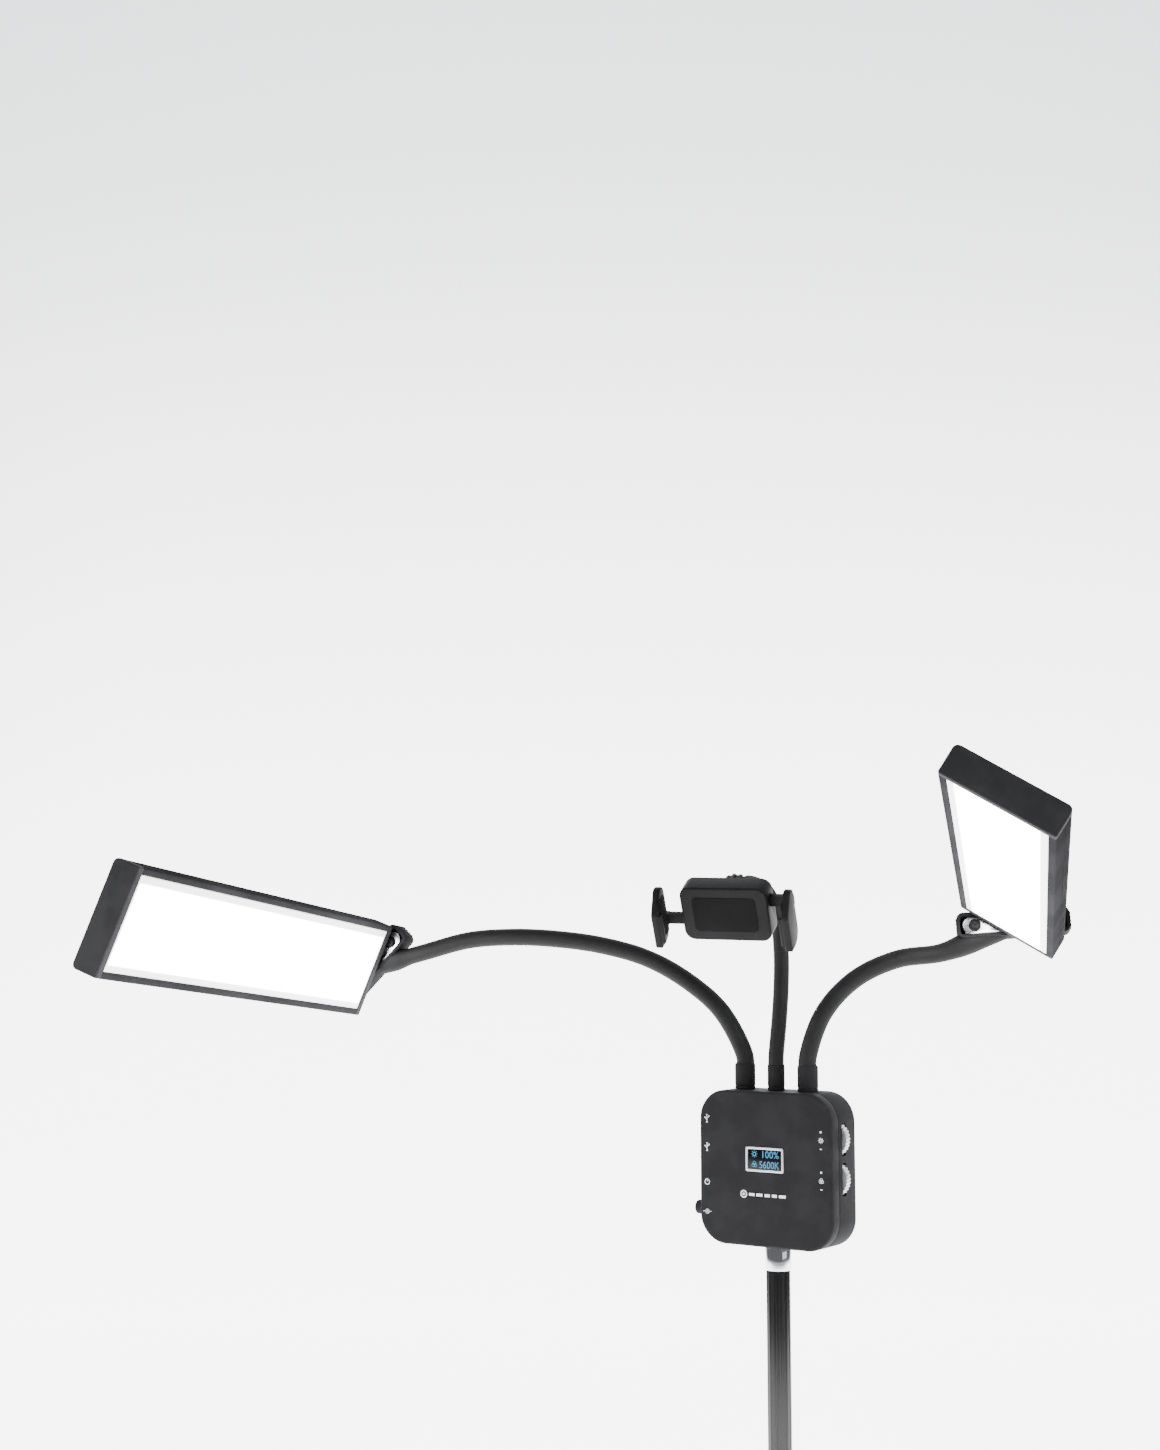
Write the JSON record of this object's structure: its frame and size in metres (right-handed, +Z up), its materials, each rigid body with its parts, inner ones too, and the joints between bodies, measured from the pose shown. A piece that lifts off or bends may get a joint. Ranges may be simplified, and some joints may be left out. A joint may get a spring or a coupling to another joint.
{
  "type": "led panel light",
  "caption": "LED panel light: slim bar heads on flexible necks, with a control box, thumb wheels and a phone clamp, on the top of a pole.",
  "frame": {"origin": "centre of the pole's bottom face, where the stand continues", "axes": "+Z up along the pole; the control box's front, with its display, faces -Y; +X is towards the thumb wheels"},
  "size_m": [0.5505, 0.4404, 0.4121],
  "materials": {
    "black_plastic": "fine moulded texture, matte",
    "black_rubber": "smooth matte rubber sleeve",
    "satin_black": "satin black",
    "chrome": "polished",
    "steel": "satin",
    "dark_steel": "black oxide",
    "diffuser": "opal, lit",
    "aluminium": "plain",
    "board": "solder mask",
    "display": "gloss",
    "silver_plastic": "silver satin"
  },
  "bodies": {
    "pole": {"pole_tube": "satin_black", "pole_end_plug": "black_rubber", "pole_spigot": "chrome", "spigot_nut": "steel"},
    "control_box": {"front_cover": "black_plastic", "rear_shell": "black_plastic", "main_board": "board", "display": "display", "display_bezel": "silver_plastic", "wheel_bracket": "steel", "usb_port_upper": "steel", "usb_port_lower": "steel", "power_inlet": "black_plastic", "case_screw_1": "steel", "case_screw_2": "steel", "case_screw_3": "steel", "case_screw_4": "steel", "left_collar": "black_plastic", "middle_collar": "black_plastic", "right_collar": "black_plastic"},
    "brightness_wheel": {"brightness_wheel": "silver_plastic"},
    "colour_wheel": {"colour_wheel": "silver_plastic"},
    "power_button": {"power_button": "black_plastic"},
    "left_tray": {"left_boot": "black_rubber", "left_tray": "black_plastic", "left_tray_plate": "steel", "left_screw_near": "dark_steel", "left_screw_far": "dark_steel", "left_pivot_bolt": "steel"},
    "left_panel": {"left_housing": "black_plastic", "left_diffuser": "diffuser", "left_led_board": "aluminium", "left_inner_cap": "black_plastic", "left_outer_cap": "black_plastic"},
    "right_tray": {"right_boot": "black_rubber", "right_tray": "black_plastic", "right_tray_plate": "steel", "right_screw_near": "dark_steel", "right_screw_far": "dark_steel", "right_pivot_bolt": "steel"},
    "right_panel": {"right_housing": "black_plastic", "right_diffuser": "diffuser", "right_led_board": "aluminium", "right_inner_cap": "black_plastic", "right_outer_cap": "black_plastic"},
    "left_neck_1": {"left_neck_1": "black_rubber"},
    "left_neck_2": {"left_neck_2": "black_rubber"},
    "left_neck_3": {"left_neck_3": "black_rubber"},
    "left_neck_4": {"left_neck_4": "black_rubber"},
    "right_neck_1": {"right_neck_1": "black_rubber"},
    "right_neck_2": {"right_neck_2": "black_rubber"},
    "middle_neck_1": {"middle_neck_1": "black_rubber"},
    "middle_neck_2": {"middle_neck_2": "black_rubber"},
    "middle_neck_3": {"middle_neck_3": "black_rubber"},
    "ball_stud": {"ball_stud": "steel"},
    "ball_nut": {"ball_nut": "black_plastic"},
    "phone_clamp": {"clamp_body": "black_plastic"},
    "left_jaw": {"left_jaw": "black_plastic"},
    "right_jaw": {"right_jaw": "black_plastic"}
  },
  "joints": [
    {"name": "box_swivel", "type": "hinge", "parent": "pole", "child": "control_box", "pos_m": [0, 0, 0.1493], "axis": [0, 0, 1], "continuous": true},
    {"name": "brightness_wheel_turn", "type": "hinge", "parent": "control_box", "child": "brightness_wheel", "pos_m": [0.0362, 0, 0.2122], "axis": [0, 1, 0], "continuous": true},
    {"name": "colour_wheel_turn", "type": "hinge", "parent": "control_box", "child": "colour_wheel", "pos_m": [0.0362, 0, 0.1895], "axis": [0, 1, 0], "continuous": true},
    {"name": "power_button_press", "type": "slide", "parent": "control_box", "child": "power_button", "axis": [1, 0, 0], "range_m": [0, 0.0008], "stiffness_N_per_m": 600, "springref_m": -0.0006},
    {"name": "left_neck_bend_1", "type": "hinge", "parent": "control_box", "child": "left_neck_1", "pos_m": [-0.02102, -0.00001, 0.25726], "axis": [0, -1, 0], "range_deg": [-20, 20]},
    {"name": "left_neck_bend_2", "type": "hinge", "parent": "left_neck_1", "child": "left_neck_2", "pos_m": [-0.05759, -0.00623, 0.30195], "axis": [0.5364, 0.0747, 0.8406], "range_deg": [-20, 20]},
    {"name": "left_neck_bend_3", "type": "hinge", "parent": "left_neck_2", "child": "left_neck_3", "pos_m": [-0.11193, -0.01772, 0.3231], "axis": [0.2547, -0.967, 0], "range_deg": [-20, 20]},
    {"name": "left_neck_bend_4", "type": "hinge", "parent": "left_neck_3", "child": "left_neck_4", "pos_m": [-0.16942, -0.03344, 0.32828], "axis": [0.0131, 0.0034, -0.9999], "range_deg": [-20, 20]},
    {"name": "left_neck_bend_5", "type": "hinge", "parent": "left_neck_4", "child": "left_tray", "pos_m": [-0.22621, -0.04885, 0.31905], "axis": [-0.2732, 0.962, 0], "range_deg": [-20, 20]},
    {"name": "right_neck_bend_1", "type": "hinge", "parent": "control_box", "child": "right_neck_1", "pos_m": [0.02101, 0.00001, 0.25718], "axis": [0, 1, 0], "range_deg": [-20, 20]},
    {"name": "right_neck_bend_2", "type": "hinge", "parent": "right_neck_1", "child": "right_neck_2", "pos_m": [0.04406, 0.01621, 0.30323], "axis": [-0.501, -0.3404, 0.7957], "range_deg": [-18, 18]},
    {"name": "right_neck_bend_3", "type": "hinge", "parent": "right_neck_2", "child": "right_tray", "pos_m": [0.086, 0.04743, 0.31898], "axis": [0.5403, -0.8415, 0], "range_deg": [-20, 20]},
    {"name": "middle_neck_bend_1", "type": "hinge", "parent": "control_box", "child": "middle_neck_1", "pos_m": [0, 0, 0.25707], "axis": [1, 0, 0], "range_deg": [-20, 20]},
    {"name": "middle_neck_bend_2", "type": "hinge", "parent": "middle_neck_1", "child": "middle_neck_2", "pos_m": [-0.00013, 0.00729, 0.29822], "axis": [0, 1, 0], "range_deg": [-18, 18]},
    {"name": "middle_neck_bend_3", "type": "hinge", "parent": "middle_neck_2", "child": "middle_neck_3", "pos_m": [-0.00255, 0.00813, 0.33982], "axis": [1, 0, 0], "range_deg": [-18, 18]},
    {"name": "left_panel_roll", "type": "hinge", "parent": "left_tray", "child": "left_panel", "pos_m": [-0.2614, -0.0668, 0.3096], "axis": [0.24, -0.9661, 0.095], "range_deg": [-110.5, 69.5]},
    {"name": "right_panel_roll", "type": "hinge", "parent": "right_tray", "child": "right_panel", "pos_m": [0.1257, 0.0586, 0.337], "axis": [0.371, -0.909, 0.19], "range_deg": [-55.5, 124.5]},
    {"name": "ball_turn", "type": "hinge", "parent": "middle_neck_3", "child": "ball_stud", "pos_m": [-0.0028, -0.0393, 0.3531], "axis": [0.1005, -0.9544, -0.2813], "range_deg": [-90, 90]},
    {"name": "ball_tilt", "type": "hinge", "parent": "ball_stud", "child": "ball_nut", "pos_m": [-0.0028, -0.0393, 0.3531], "axis": [0.9735, 0.2271, -0.027], "range_deg": [-15, 15]},
    {"name": "clamp_turn", "type": "hinge", "parent": "ball_nut", "child": "phone_clamp", "pos_m": [-0.0028, -0.0393, 0.3531], "axis": [-0.1825, 0.8427, 0.5065], "range_deg": [-90, 90]},
    {"name": "right_jaw_slide", "type": "slide", "parent": "phone_clamp", "child": "right_jaw", "axis": [0.9735, 0.2271, -0.027], "range_m": [-0.007, 0.009]},
    {"name": "left_jaw_slide", "type": "slide", "parent": "phone_clamp", "child": "left_jaw", "axis": [-0.9735, -0.2271, 0.027], "range_m": [-0.007, 0.009]}
  ],
  "couplings": [
    {"joint": "left_jaw_slide", "follows": "right_jaw_slide", "ratio": 1}
  ]
}
